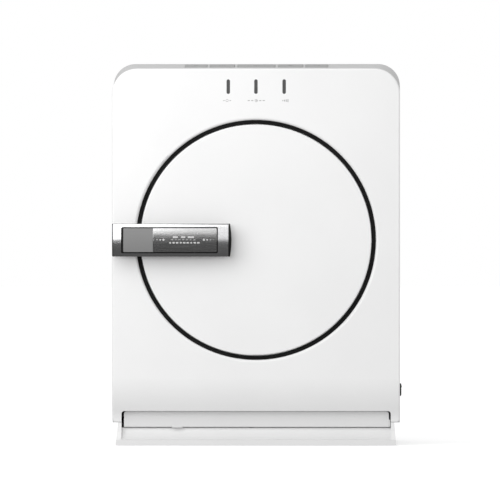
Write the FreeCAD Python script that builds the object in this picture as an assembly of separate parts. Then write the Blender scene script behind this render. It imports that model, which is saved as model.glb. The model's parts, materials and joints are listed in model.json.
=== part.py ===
"""Compact front-loading clothes dryer, in millimetres.

+Z up, the front faces -Y and +X is to the right seen from the front. The origin is at the middle of the
footprint, at floor level. Each node is one physical piece, or one group of identical pieces.
"""
import FreeCAD, Part
import math
import os

from FreeCAD import Vector as V

os.makedirs("parts", exist_ok=True)

# ---- driving dimensions -------------------------------------------------------------------------------
half_width = 250.0
front_y = -215.0
rear_y = 215.0
top_z = 665.0
wall = 3.0
sheet = 1.5
pan_sheet = 2.0
skirt_z = 600.0

# front panel
panel_back_y = -193.0
panel_top_z = 655.0
panel_low_z = 40.0
panel_corner_r = 44.0
curve_top_z = 115.0
lip_z = 60.0
curve_r = 130.0
opening_r = 208.3
bevel_r = 4.5
flange_depth = 14.0
flange_wall = 4.0
recess_half_width = 234.0
panel_edge_round = 3.0
panel_foot_round = 6.0
recess_corner_r = 5.0
rim_line_inset = 5.0
rim_line_width = 0.9
rim_line_depth = 0.5
rim_line_low_z = 612.0

# top cover
cover_corner_r = 38.0
deck_back_y = -115.0

# plinth and base
plinth_top_z = 30.9
plinth_foot_z = 10.0
plinth_lift = 0.5
plinth_back_y = -183.0
plinth_ledge_y = -188.0
ramp_sag = 4.5
plinth_half_low = 244.0
plinth_half_high = 240.0
pan_low_z = 8.0
pan_top_z = 30.0
pan_cheek_z = panel_low_z
foot_r = 16.0

# door
axis_z = 357.3
door_r = 200.5
door_back_r = 198.0
door_depth = 12.0
plug_r = 150.0
plug_back_y = -165.0
liner_y = front_y + door_depth
liner_sheet = 2.5
hinge_x = 219.0
hinge_y = -203.0
hinge_pin_r = 3.0
running_gap = 0.05

# handle
handle_left_x = -248.8
handle_right_x = -42.0
cap_left_x = -47.2
handle_low_z = 328.5
handle_high_z = 385.4
handle_mid_z = (handle_low_z + handle_high_z) / 2
handle_back_y = -235.0
handle_front_y = -251.0
handle_bow = 4.0
window_left_x = -233.3
window_right_x = -65.4
window_half_z = 22.8
divider_x = -177.9
release_travel = 4.0

# drum
drum_r = 222.0
drum_sheet = 1.5
drum_front_y = -155.0
drum_back_y = 148.0
mouth_r = 176.0
shaft_r = 10.0
bulkhead_y = -168.0
rear_bulkhead_y = 158.0
roller_r = 22.0
roller_gap = 0.3
roller_x = 129.5

# motor, blower and belt
motor_x = 172.0
motor_z = 108.0
motor_r = 45.0
motor_front_y = 18.0
motor_back_y = 112.0
motor_shaft_r = 6.0
blower_front_y = -45.0
blower_back_y = 8.0
blower_r = 68.0
wheel_r = 58.0
belt_y = 130.0
belt_width = 8.0
belt_thick = 2.2
belt_gap = 0.3
pulley_r = 11.0

# exhaust
duct_x = -60.0
duct_z = 78.0
duct_half = 40.0
collar_r = 40.0
collar_end_y = 245.0
collar_wall = 2.5
collar_plate_half = 52.0
duct_wall = 2.0

# drawer
drawer_low_z = 32.1
drawer_high_z = 59.5
drawer_face_y = -193.0
drawer_left_gap = 4.0
drawer_right_gap = 3.0
drawer_lug_gap = 1.0
drawer_lug_z = 45.0
tray_half = 150.0
tray_back_y = -55.0
tray_low_z = 38.0
tray_high_z = 57.0

# power inlet and side switch
inlet_x = 180.0
inlet_z = 70.0
rocker_y = -163.0
rocker_z = 96.75
rocker_x = 246.0
rocker_hole_y = 9.4
rocker_hole_z = 10.4


# ---- helpers ------------------------------------------------------------------------------------------
def save(name, shape):
    shape.exportStep(os.path.join("parts", name + ".step"))


def block(x0, x1, y0, y1, z0, z1):
    return Part.makeBox(x1 - x0, y1 - y0, z1 - z0, V(x0, y0, z0))


def rod_y(x, z, radius, y0, y1):
    return Part.makeCylinder(radius, y1 - y0, V(x, y0, z), V(0, 1, 0))


def rod_z(x, y, radius, z0, z1):
    return Part.makeCylinder(radius, z1 - z0, V(x, y, z0), V(0, 0, 1))


def tube_y(x, z, outer, inner, y0, y1):
    return rod_y(x, z, outer, y0, y1).cut(rod_y(x, z, inner, y0 - 1, y1 + 1))


def fuse_all(shapes):
    first = shapes[0]
    return first.multiFuse(shapes[1:]).removeSplitter() if len(shapes) > 1 else first


def group(shapes):
    return Part.makeCompound(shapes)


def wire_of(points, arcs=None):
    """Closed wire through points; arcs maps the index of a side to the middle point of its arc."""
    arcs = arcs or {}
    edges = []
    for i, start in enumerate(points):
        end = points[(i + 1) % len(points)]
        if i in arcs:
            edges.append(Part.Arc(start, arcs[i], end).toShape())
        else:
            edges.append(Part.LineSegment(start, end).toShape())
    return Part.Wire(edges)


def solid_of_revolution(profile, x=0.0, z=axis_z):
    """Solid turned about the Y line through x, z; profile lists (radius, y)."""
    points = [V(x + r, y, z) for r, y in profile]
    face = Part.Face(wire_of(points))
    return face.revolve(V(x, 0, z), V(0, 1, 0), 360)


def prism_x(points_yz, x0, x1, arcs=None):
    """Section given as (y, z) points, pushed along X."""
    points = [V(x0, y, z) for y, z in points_yz]
    middles = {i: V(x0, y, z) for i, (y, z) in (arcs or {}).items()}
    return Part.Face(wire_of(points, middles)).extrude(V(x1 - x0, 0, 0))


def prism_y(points_xz, y0, y1, arcs=None):
    """Section given as (x, z) points, pushed along Y."""
    points = [V(x, y0, z) for x, z in points_xz]
    middles = {i: V(x, y0, z) for i, (x, z) in (arcs or {}).items()}
    return Part.Face(wire_of(points, middles)).extrude(V(0, y1 - y0, 0))


def arched_wire(half, low, high, corner, y):
    """Outline of the case seen from the front: square below, round shoulders of radius corner above."""
    slant = corner * math.sqrt(0.5)
    points = [
        V(-half, y, low),
        V(half, y, low),
        V(half, y, high - corner),
        V(half - corner, y, high),
        V(-half + corner, y, high),
        V(-half, y, high - corner),
    ]
    right = V(half - corner + slant, y, high - corner + slant)
    left = V(-half + corner - slant, y, high - corner + slant)
    return wire_of(points, {2: right, 4: left})


def arched_block(half, low, high, corner, y0, y1):
    return Part.Face(arched_wire(half, low, high, corner, y0)).extrude(V(0, y1 - y0, 0))


def obround_y(x, z, half_x, half_z, y0, y1):
    """Upright slot shape pushed along Y."""
    middle = block(x - half_x, x + half_x, y0, y1, z - half_z + half_x, z + half_z - half_x)
    low = rod_y(x, z - half_z + half_x, half_x, y0, y1)
    high = rod_y(x, z + half_z - half_x, half_x, y0, y1)
    return fuse_all([middle, low, high])


def rounded(shape, radius, chosen):
    """Fillets the edges that chosen(edge) picks."""
    edges = [edge for edge in shape.Edges if chosen(edge)]
    return shape.makeFillet(radius, edges)


def screw_y(x, z, face_y, length):
    """Pan-head screw whose head sits on a face that looks along +Y."""
    head = rod_y(x, z, 4.0, face_y, face_y + 2.2)
    head = rounded(head, 1.2, lambda edge: edge.BoundBox.YMin > face_y + 2.1)
    return fuse_all([head, rod_y(x, z, 1.9, face_y - length, face_y + 0.5)])


# ---- front panel ---------------------------------------------------------------------------------------
curve_angle = math.asin((curve_top_z - lip_z) / curve_r)
lip_y = front_y + curve_r * (1 - math.cos(curve_angle))
heel_r = (lip_z - panel_low_z) / math.sin(curve_angle)
wing_y = lip_y + heel_r * (1 - math.cos(curve_angle))


def face_profile(inset):
    """Side section of the front face, moved back by inset, closed at the panel's back edge."""
    half = curve_angle / 2
    convex = curve_r - inset
    concave = heel_r + inset
    centre_y = front_y + curve_r
    heel_centre_y = wing_y - heel_r
    points = [
        (front_y + inset, panel_top_z - inset),
        (front_y + inset, curve_top_z),
        (centre_y - convex * math.cos(curve_angle), curve_top_z - convex * math.sin(curve_angle)),
        (heel_centre_y + concave, panel_low_z),
        (panel_back_y, panel_low_z),
        (panel_back_y, panel_top_z - inset),
    ]
    arcs = {
        1: (centre_y - convex * math.cos(half), curve_top_z - convex * math.sin(half)),
        2: (heel_centre_y + concave * math.cos(half), panel_low_z + concave * math.sin(half)),
    }
    return points, arcs


def front_panel():
    points, arcs = face_profile(0.0)
    body = prism_x(points, -half_width, half_width, arcs)
    body = body.common(
        arched_block(half_width, panel_low_z, panel_top_z, panel_corner_r, front_y - 1, panel_back_y)
    )
    body = rounded(body, panel_foot_round, is_panel_foot)
    body = rounded(body, panel_edge_round, is_front_rim)

    points, arcs = face_profile(wall)
    inside = prism_x(points, -half_width + wall, half_width - wall, arcs)
    inside = inside.common(
        arched_block(
            half_width - wall, lip_z + wall, panel_top_z - wall, panel_corner_r - wall, front_y, panel_back_y
        )
    )
    body = body.cut(inside)
    recess = block(
        -recess_half_width, recess_half_width, front_y - 5, panel_back_y + 1, panel_low_z - 1, lip_z
    )
    body = body.cut(rounded(recess, recess_corner_r, is_upper_corner))
    flange = tube_y(0, axis_z, opening_r + flange_wall, opening_r - 1, front_y + 1, front_y + flange_depth)
    body = body.fuse(flange)
    body = body.cut(door_opening())
    slots = [
        obround_y(x, indicator_z, slot_half_x, slot_half_z, front_y - 1, front_y + 5) for x in indicator_xs
    ]
    return body.cut(slots + [rim_line()])


def rim_line():
    """Fine groove that runs along the top rim and round both shoulders."""
    rings = []
    for inset in (rim_line_inset, rim_line_inset + rim_line_width):
        rings.append(
            arched_block(
                half_width - inset, rim_line_low_z, panel_top_z - inset, panel_corner_r - inset,
                front_y - 1, front_y + rim_line_depth,
            )
        )
    return rings[0].cut(rings[1])


def is_upper_corner(edge):
    """Edges along Y that are the upper corners of the recess, or of what fills it."""
    box = edge.BoundBox
    return box.ZMin > lip_z - 1.0 and box.XLength < 0.01


def is_panel_foot(edge):
    """The two lower outer edges, which run back from the face."""
    box = edge.BoundBox
    return box.ZMax < panel_low_z + 0.01 and box.XLength < 0.01


def is_front_rim(edge):
    """The long edges between the outer face and the shoulders and sides."""
    box = edge.BoundBox
    near_side = min(abs(abs(box.XMin) - half_width), abs(abs(box.XMax) - half_width)) < 0.01
    on_face = abs(box.YMin - front_y) < 0.01 and abs(box.YMax - front_y) < 0.01
    on_top = box.ZMax > panel_top_z - panel_corner_r - 1 and on_face
    curved = box.YMax < panel_back_y - 1 and box.ZMax < curve_top_z + 1 and box.XLength < 0.01
    straight = on_face and box.XLength < 0.01 and near_side
    return on_top or straight or (curved and near_side and box.ZLength > 5)


def door_opening():
    """Round hole with a rolled edge at the face."""
    bevel_mid = bevel_r * (1 - math.sqrt(0.5))
    outer = opening_r + bevel_r
    points = [
        V(0, front_y - 1, axis_z),
        V(outer, front_y - 1, axis_z),
        V(outer, front_y, axis_z),
        V(opening_r, front_y + bevel_r, axis_z),
        V(opening_r, front_y + 30, axis_z),
        V(0, front_y + 30, axis_z),
    ]
    middle = V(opening_r + bevel_mid, front_y + bevel_mid, axis_z)
    face = Part.Face(wire_of(points, {2: middle}))
    return face.revolve(V(0, 0, axis_z), V(0, 1, 0), 360)


indicator_z = 623.5
indicator_xs = (-48.0, 0.0, 49.0)
slot_half_x = 3.0
slot_half_z = 12.7
lens_gap = 0.1
lens_sink = 0.4


def indicator_lenses():
    lenses = []
    for x in indicator_xs:
        window = obround_y(
            x, indicator_z, slot_half_x - lens_gap, slot_half_z - lens_gap,
            front_y + lens_sink, front_y + wall,
        )
        backing = obround_y(
            x, indicator_z, slot_half_x + 2, slot_half_z + 2, front_y + wall, front_y + wall + 1.5
        )
        lenses.append(fuse_all([window, backing]))
    return group(lenses)


def door_ring_seal():
    profile = [
        (202.0, front_y + 5.0),
        (opening_r, front_y + 5.0),
        (opening_r, front_y + 10.0),
        (205.0, front_y + 10.0),
        (205.0, front_y + 8.0),
        (202.0, front_y + 8.0),
    ]
    return solid_of_revolution(profile)


# ---- top cover and its keys -----------------------------------------------------------------------------
deck_rise = top_z - panel_top_z
deck_run = deck_back_y - panel_back_y
deck_angle = math.degrees(math.atan2(deck_rise, deck_run))
key_middle_y = -151.0
key_middle_z = panel_top_z + deck_rise * (key_middle_y - panel_back_y) / deck_run
key_depth = 40.0
key_travel = 1.2
key_stand = 1.0
key_gap = 0.5
key_stem = 9.0
key_spans = (
    (-125.0, -85.5),
    (-81.5, -37.5),
    (-33.0, 33.0),
    (37.5, 81.5),
    (85.5, 125.0),
)


def on_deck(shape):
    """Turns a shape made on a level deck at z 0 about the key row's centre, and lifts it in place."""
    placed = shape.copy()
    placed.rotate(V(0, 0, 0), V(1, 0, 0), deck_angle)
    placed.translate(V(0, key_middle_y, key_middle_z))
    return placed


def loft_block(inset):
    """Sloping deck with its shoulders, from the panel's outline up to the cover's."""
    front = arched_wire(
        half_width - inset, skirt_z, panel_top_z - inset, panel_corner_r - inset, panel_back_y
    )
    back = arched_wire(half_width - inset, skirt_z, top_z - inset, cover_corner_r - inset, deck_back_y)
    return Part.makeLoft([front, back], True, True)


def top_cover():
    outer = loft_block(0.0).fuse(
        arched_block(half_width, skirt_z, top_z, cover_corner_r, deck_back_y, rear_y)
    )
    inner = loft_block(wall).fuse(
        arched_block(
            half_width - wall, skirt_z, top_z - wall, cover_corner_r - wall, deck_back_y, rear_y - wall
        )
    )
    cover = outer.cut(inner)
    half = key_depth / 2
    holes = [on_deck(block(x0, x1, -half, half, -8, 8)) for x0, x1 in key_spans]
    return cover.cut(holes)


def key(x0, x1):
    """One key: a plate with rounded rims that fills its cut-out, and a stem under it."""
    half = key_depth / 2 - key_gap
    plate = block(x0 + key_gap, x1 - key_gap, -half, half, -wall, key_stand)
    plate = rounded(plate, 0.8, lambda edge: edge.BoundBox.ZMin > key_stand - 0.01)
    stem = rod_z((x0 + x1) / 2, 0, 3.0, -key_stem, -wall + 0.5)
    return on_deck(fuse_all([plate, stem]))


# ---- plinth, base pan and feet --------------------------------------------------------------------------
def plinth_section(inset):
    points = [
        (front_y + 2 + inset, plinth_lift),
        (front_y + 2 + inset, plinth_foot_z - inset * 0.4),
        (plinth_ledge_y + inset, plinth_top_z - inset),
        (plinth_back_y, plinth_top_z - inset),
        (plinth_back_y, plinth_lift),
    ]
    return points, {1: hollow_middle(points[1], points[2], ramp_sag)}


def hollow_middle(start, end, sag):
    """Middle point of an arc from start to end that hangs sag below the straight line."""
    run, rise = end[0] - start[0], end[1] - start[1]
    reach = math.hypot(run, rise)
    return ((start[0] + end[0]) / 2 + sag * rise / reach, (start[1] + end[1]) / 2 - sag * run / reach)


def plinth_ends(inset):
    """Trapezium seen from the front, which gives the plinth its flared ends."""
    low = plinth_half_low - inset
    high = plinth_half_high - inset
    points = [(-low, 0), (low, 0), (high, panel_low_z + 1), (-high, panel_low_z + 1)]
    return prism_y(points, front_y, plinth_back_y)


def plinth_cheeks():
    """Upright end plates that reach up to the front panel's wings."""
    knee = (wing_y - 3.4, 25.0)
    section = [
        (front_y + 2, plinth_lift),
        (front_y + 2, plinth_foot_z),
        knee,
        (wing_y, panel_low_z),
        (plinth_back_y, panel_low_z),
        (plinth_back_y, plinth_lift),
    ]
    arcs = {1: hollow_middle((front_y + 2, plinth_foot_z), knee, 1.8)}
    left = prism_x(section, -plinth_half_low, -recess_half_width, arcs)
    right = prism_x(section, recess_half_width, plinth_half_low, arcs)
    return [side.common(plinth_ends(0.0)) for side in (left, right)]


def plinth_front():
    points, arcs = plinth_section(0.0)
    outer = prism_x(points, -plinth_half_low, plinth_half_low, arcs).common(plinth_ends(0.0))
    points, arcs = plinth_section(wall)
    inner = prism_x(points, -plinth_half_low, plinth_half_low, arcs).common(plinth_ends(wall))
    return fuse_all([outer.cut(inner)] + plinth_cheeks())


pan_half = 240.0
pan_back_y = 212.0
pan_floor_z = pan_low_z + pan_sheet
rail_x = tray_half + 1.5
rail_sheet = 1.5
rail_foot = 12.0
rail_top_z = 48.0
rail_y = (-165.0, -50.0)


def base_pan():
    """Pressed tray with raised sides; two upright rails on its floor guide the drawer."""
    outer = block(-pan_half, pan_half, plinth_back_y, pan_back_y, pan_low_z, pan_top_z)
    inner = block(
        -pan_half + pan_sheet,
        pan_half - pan_sheet,
        plinth_back_y + pan_sheet,
        pan_back_y - pan_sheet,
        pan_floor_z,
        pan_top_z,
    )
    rails = []
    for side in (-1, 1):
        near, far = sorted((side * pan_half, side * (pan_half - pan_sheet)))
        rails.append(block(near, far, plinth_back_y, pan_back_y, pan_low_z, pan_cheek_z))
        near, upright = sorted((side * rail_x, side * (rail_x + rail_sheet)))
        rails.append(block(near, upright, *rail_y, pan_floor_z, rail_top_z))
        near, far = sorted((side * rail_x, side * (rail_x + rail_foot)))
        rails.append(block(near, far, *rail_y, pan_floor_z, pan_floor_z + rail_sheet))
    return fuse_all([outer.cut(inner)] + rails)


foot_spots = ((-205.0, -160.0), (205.0, -160.0), (-205.0, 185.0), (205.0, 185.0))


def rubber_feet():
    feet = []
    for x, y in foot_spots:
        pad = Part.makeCone(foot_r - 2, foot_r, 2, V(x, y, 0), V(0, 0, 1))
        feet.append(pad.fuse(rod_z(x, y, foot_r, 2, pan_low_z)).removeSplitter())
    return group(feet)


# ---- side, rear panels and screws -----------------------------------------------------------------------
side_flange = 14.0
rear_face_y = rear_y - sheet


def side_panel(side):
    """Flat sheet with a flange folded in at the back and at the bottom."""
    outer, inner = side * half_width, side * (half_width - sheet)
    flange = side * (half_width - side_flange)
    x0, x1 = sorted((outer, inner))
    f0, f1 = sorted((outer, flange))
    skin = block(x0, x1, panel_back_y, rear_face_y, panel_low_z, skirt_z)
    back = block(f0, f1, rear_face_y - sheet, rear_face_y, panel_low_z, skirt_z)
    foot = block(f0, f1, plinth_back_y, rear_face_y, panel_low_z, panel_low_z + sheet)
    panel = fuse_all([skin, back, foot])
    if side > 0:
        panel = panel.cut(
            block(
                x0 - 1, x1 + 1, rocker_y - rocker_hole_y, rocker_y + rocker_hole_y,
                rocker_z - rocker_hole_z, rocker_z + rocker_hole_z,
            )
        )
    return panel.cut([rod_y(x, z, screw_hole_r, 200, rear_y + 1) for x, z in side_screws if x * side > 0])


side_screws = [(side * 243.0, z) for side in (-1, 1) for z in (60.0, 230.0, 400.0, 570.0)]
screw_hole_r = 2.0
heater_box = (-95.0, 95.0, 440.0, 570.0)
louvre_height = 5.0
louvre_pitch = 14.0
louvre_groups = (
    # lowest z, rows, half length, middles
    (250.0, 8, 36.0, (-90.0, 0.0, 90.0)),
    (455.0, 7, 34.0, (-45.0, 45.0)),
)


def rear_panel():
    """Flat sheet with a narrower tongue at its foot, air slots and the cut-outs for duct and inlet."""
    panel = block(-half_width, half_width, rear_face_y, rear_y, panel_low_z, skirt_z)
    panel = panel.fuse(block(-pan_half, pan_half, rear_face_y, rear_y, pan_top_z, panel_low_z))
    cuts = [rod_y(x, z, screw_hole_r, 200, rear_y + 1) for x, z in side_screws]
    cuts.append(rod_y(duct_x, duct_z, collar_r + 0.5, 200, rear_y + 1))
    cuts.append(inlet_block(14.5, 11.5, 200, rear_y + 1))
    for low, rows, half, middles in louvre_groups:
        for row in range(rows):
            z = low + louvre_pitch * row
            cuts += [
                block(x - half, x + half, 200, rear_y + 1, z, z + louvre_height) for x in middles
            ]
    return panel.removeSplitter().cut(cuts)


def panel_screws():
    return group([screw_y(x, z, rear_y, 6.0) for x, z in side_screws])


# ---- bulkheads and drum ---------------------------------------------------------------------------------
collar_front_y = -191.0
collar_back_y = -153.5
collar_outer = 182.0
collar_inner = 168.0
air_slot_half = 4.0
air_slot_pitch = 15
cable_hole_r = 20.0
cable_hole = (205.0, 560.0)


def front_bulkhead():
    """Sheet with a raised ring round the mouth; slots at its foot let the air down into the duct."""
    plate = block(-pan_half, pan_half, bulkhead_y, bulkhead_y + sheet, lip_z + 4, bulkhead_top_z)
    plate = plate.cut(rod_y(0, axis_z, collar_inner + 1, bulkhead_y - 1, bulkhead_y + 10))
    profile = [
        (collar_inner, collar_front_y),
        (collar_outer, collar_front_y),
        (collar_outer, bulkhead_y),
        (collar_outer - sheet, bulkhead_y),
        (collar_outer - sheet, collar_front_y + sheet),
        (collar_inner + sheet, collar_front_y + sheet),
        (collar_inner + sheet, collar_back_y),
        (collar_inner, collar_back_y),
    ]
    panel = plate.fuse(solid_of_revolution(profile)).removeSplitter()
    cuts = []
    for step in range(-3, 4):
        x = air_slot_pitch * step
        cuts.append(
            block(
                x - air_slot_half, x + air_slot_half, collar_front_y + 4, bulkhead_y - 3,
                axis_z - collar_outer - 5, axis_z - plug_r,
            )
        )
    for side in (-1, 1):
        cuts.append(rod_y(side * cable_hole[0], cable_hole[1], cable_hole_r, bulkhead_y - 1, bulkhead_y + 5))
    cuts.append(
        block(rocker_x - 18, pan_half + 1, bulkhead_y - 1, bulkhead_y + 5, rocker_z - 14, rocker_z + 14)
    )
    return panel.cut(cuts)


felt_outer = 186.0
felt_inner = 173.0


def drum_felt_seal():
    return tube_y(0, axis_z, felt_outer, felt_inner, bulkhead_y + sheet, drum_front_y - 0.4)


def drum_shell():
    profile = [
        (mouth_r, drum_front_y),
        (drum_r - 6, drum_front_y),
        (drum_r, drum_front_y + 6),
        (drum_r, drum_back_y - drum_sheet),
        (drum_r - drum_sheet, drum_back_y - drum_sheet),
        (drum_r - drum_sheet, drum_front_y + 6.6),
        (drum_r - 6.6, drum_front_y + drum_sheet),
        (mouth_r, drum_front_y + drum_sheet),
    ]
    return solid_of_revolution(profile)


def ring_of_holes(radius, count, hole_r, y0, y1):
    holes = []
    for i in range(count):
        angle = 2 * math.pi * i / count
        x, z = radius * math.cos(angle), axis_z + radius * math.sin(angle)
        holes.append(rod_y(x, z, hole_r, y0, y1))
    return holes


perforations = ((85.0, 16), (110.0, 20), (135.0, 26), (160.0, 30))
perforation_r = 5.0


def drum_back():
    disc = rod_y(0, axis_z, drum_r, drum_back_y - drum_sheet, drum_back_y)
    holes = [rod_y(0, axis_z, shaft_r, 0, 200)]
    for radius, count in perforations:
        holes += ring_of_holes(radius, count, perforation_r, 100, 200)
    return disc.cut(holes)


baffle_count = 3
baffle_root_half = 24.0
baffle_tip_half = 9.0
baffle_height = 44.0
baffle_crown = 6.0
baffle_skin = 3.5
baffle_first_angle = 30.0


def drum_baffles():
    """Hollow lifters screwed to the drum's wall."""
    vanes = []
    seat = drum_r - drum_sheet
    root_x = math.sqrt(seat ** 2 - baffle_root_half ** 2)
    tip_x = seat - baffle_height
    outer = [
        (root_x, -baffle_root_half),
        (tip_x, -baffle_tip_half),
        (tip_x, baffle_tip_half),
        (root_x, baffle_root_half),
    ]
    outer_arcs = {1: (tip_x - baffle_crown, 0), 3: (seat, 0)}
    root_half = baffle_root_half - baffle_skin
    tip_half = baffle_tip_half - 0.7 * baffle_skin
    inner = [
        (seat + 5, -root_half),
        (tip_x + baffle_skin, -tip_half),
        (tip_x + baffle_skin, tip_half),
        (seat + 5, root_half),
    ]
    inner_arcs = {1: (tip_x + baffle_skin - baffle_crown, 0)}
    y0, y1 = drum_front_y + 12, drum_back_y - 10
    for i in range(baffle_count):
        hollow = prism_y(inner, y0 + 2, y1 - 2, inner_arcs)
        vane = prism_y(outer, y0, y1, outer_arcs).cut(hollow)
        vane.rotate(V(0, 0, 0), V(0, 1, 0), 360 / baffle_count * i + baffle_first_angle)
        vane.translate(V(0, 0, axis_z))
        vanes.append(vane)
    return group(vanes)


shaft_end_y = 188.0
spider_r = 60.0
shaft_hub_r = 18.0


def drum_shaft():
    """Stub shaft with the disc that carries the drum's back."""
    shaft = rod_y(0, axis_z, shaft_r, drum_back_y - drum_sheet, shaft_end_y)
    spider = tube_y(0, axis_z, spider_r, shaft_r - 1, drum_back_y, drum_back_y + 3)
    hub = tube_y(0, axis_z, shaft_hub_r, shaft_r - 1, drum_back_y, drum_back_y + 8)
    return fuse_all([shaft, spider, hub])


bulkhead_top_z = 596.0
rear_bulkhead_low_z = 120.0
side_hole = (215.0, 150.0)
side_hole_r = 24.0


def rear_bulkhead():
    plate = block(
        -pan_half, pan_half, rear_bulkhead_y, rear_bulkhead_y + sheet, rear_bulkhead_low_z, bulkhead_top_z
    )
    cuts = [rod_y(0, axis_z, shaft_hub_r + 2, 150, 170)]
    for side in (-1, 1):
        cuts.append(rod_y(side * side_hole[0], side_hole[1], side_hole_r, 150, 170))
    for radius, count in perforations[1:]:
        cuts += ring_of_holes(radius, count, perforation_r, 150, 170)
    return plate.cut(cuts)


bearing_back_y = 186.0
bearing_flange_r = 44.0
bearing_hub_r = 24.0


def bearing_housing():
    flange = rod_y(0, axis_z, bearing_flange_r, rear_bulkhead_y + sheet, rear_bulkhead_y + sheet + 3)
    hub = rod_y(0, axis_z, bearing_hub_r, rear_bulkhead_y + sheet, bearing_back_y)
    body = fuse_all([flange, hub])
    return body.cut(rod_y(0, axis_z, shaft_r + running_gap, 150, 200))


heater_back_y = 200.0
heater_sheet = 2.0
heater_rim = 10.0
heater_core_y = (172.0, 186.0)
bus_inset = 20.0
bus_height = 6.0
fin_pitch = 12


def heater_housing():
    """Open-backed box that guides the warm air onto the drum's back."""
    x0, x1, z0, z1 = heater_box
    y0, y1 = rear_bulkhead_y + sheet, heater_back_y
    box = block(x0, x1, y0, y1, z0, z1)
    hollow = block(
        x0 + heater_sheet, x1 - heater_sheet, y0 - 1, y1 + 1, z0 + heater_sheet, z1 - heater_sheet
    )
    rim = [
        block(x0 - heater_rim, x0, y0, y0 + heater_sheet, z0, z1),
        block(x1, x1 + heater_rim, y0, y0 + heater_sheet, z0, z1),
    ]
    return fuse_all([box.cut(hollow)] + rim)


def heater_element():
    """Ceramic heater: two bus bars with fins between them."""
    x0, x1, z0, z1 = heater_box
    y0, y1 = heater_core_y
    fin_low, fin_high = z0 + bus_inset + bus_height, z1 - bus_inset - bus_height
    bars = [
        block(x0 + heater_sheet, x1 - heater_sheet, y0, y1, z, z + bus_height)
        for z in (z0 + bus_inset, fin_high)
    ]
    fins = []
    for step in range(-7, 8):
        x = fin_pitch * step
        fins.append(block(x - 1, x + 1, y0 + 1, y1 - 1, fin_low, fin_high))
    return fuse_all(bars + fins)


thermostat_spot = (60.0, 183.0)
thermostat_r = 7.0


def thermostat():
    """Round can on a small flanged base, on the roof of the heater box."""
    x, y = thermostat_spot
    z = heater_box[3]
    base = block(x - 12, x + 12, y - thermostat_r, y + thermostat_r, z, z + 2)
    return fuse_all([base, rod_z(x, y, thermostat_r, z + 2, z + 10)])


def roller_spots():
    reach = drum_r + roller_r + roller_gap
    z = axis_z - math.sqrt(reach * reach - roller_x * roller_x)
    return [(-roller_x, z), (roller_x, z)]


roller_front_y = -150.0
roller_back_y = -130.0
axle_r = 5.0
dish_outer = 17.0
dish_inner = 9.0
dish_depth = 4.0
bracket_half = 22.0


def roller(x, z):
    """Support wheel, dished on both faces."""
    body = rod_y(x, z, roller_r, roller_front_y, roller_back_y)
    cuts = [
        rod_y(x, z, axle_r + running_gap, roller_front_y - 1, roller_back_y + 1),
        tube_y(x, z, dish_outer, dish_inner, roller_front_y - 1, roller_front_y + dish_depth),
        tube_y(x, z, dish_outer, dish_inner, roller_back_y - dish_depth, roller_back_y + 1),
    ]
    return body.cut(cuts)


def roller_brackets():
    brackets = []
    for x, z in roller_spots():
        plate = block(
            x - bracket_half, x + bracket_half, bulkhead_y + sheet, bulkhead_y + sheet + 4, z - 26, z + 18
        )
        axle = rod_y(x, z, axle_r, bulkhead_y + sheet, roller_back_y + 4)
        collar = rod_y(x, z, 8.0, bulkhead_y + sheet, roller_front_y - 1)
        brackets.append(fuse_all([plate, axle, collar]))
    return group(brackets)


air_duct_half = 60.0
air_duct_wall = 2.0


def front_air_duct():
    """Open box from the foot of the mouth ring down to the filter drawer."""
    y0, y1 = collar_front_y, bulkhead_y
    half = air_duct_half - air_duct_wall
    outer = block(-air_duct_half, air_duct_half, y0, y1, lip_z + 3, axis_z - collar_outer + 12)
    inner = block(-half, half, y0 + air_duct_wall, y1 - air_duct_wall, lip_z, 300)
    ring = rod_y(0, axis_z, collar_outer, y0 - 1, y1 + 1)
    return outer.cut([inner, ring])


# ---- motor, blower, belt and exhaust ---------------------------------------------------------------------
vent_count = 10
vent_half_length = 26.0
vent_half_width = 3.0
bracket_r = 38.0
bracket_sheet = 3.0
bracket_hole_r = 22.0


def motor_housing():
    """Round can with vents in its wall."""
    body = rod_y(motor_x, motor_z, motor_r, motor_front_y, motor_back_y)
    body = rounded(body, 5.0, lambda edge: edge.Length > 6 * motor_r)
    cuts = [rod_y(motor_x, motor_z, motor_shaft_r + 1.0, 0, 150)]
    middle = (motor_front_y + motor_back_y) / 2
    for i in range(vent_count):
        angle = 2 * math.pi * i / vent_count
        x = motor_x + (motor_r - 2) * math.cos(angle)
        z = motor_z + (motor_r - 2) * math.sin(angle)
        vent = block(
            -2, 6, middle - vent_half_length, middle + vent_half_length, -vent_half_width, vent_half_width
        )
        vent.rotate(V(0, 0, 0), V(0, 1, 0), -math.degrees(angle))
        vent.translate(V(x, 0, z))
        cuts.append(vent)
    return body.cut(cuts)


def motor_bracket():
    """Two cheeks on a foot plate, bolted to the motor's ends."""
    x0, x1 = motor_x - bracket_r, motor_x + bracket_r
    low = pan_floor_z
    y0, y1 = motor_front_y - bracket_sheet, motor_back_y + bracket_sheet
    cheeks = []
    for y in (y0, motor_back_y):
        cheek = block(x0, x1, y, y + bracket_sheet, low, motor_z)
        cheek = cheek.fuse(rod_y(motor_x, motor_z, bracket_r, y, y + bracket_sheet))
        cheeks.append(cheek.cut(rod_y(motor_x, motor_z, bracket_hole_r, y - 1, y + bracket_sheet + 1)))
    return fuse_all([block(x0, x1, y0, y1, low, low + bracket_sheet)] + cheeks)


def motor_shaft():
    return rod_y(motor_x, motor_z, motor_shaft_r, blower_front_y + 10, belt_y + 10)


pulley_half = 7.0
pulley_rim = 3.0
pulley_rim_width = 2.0


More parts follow.
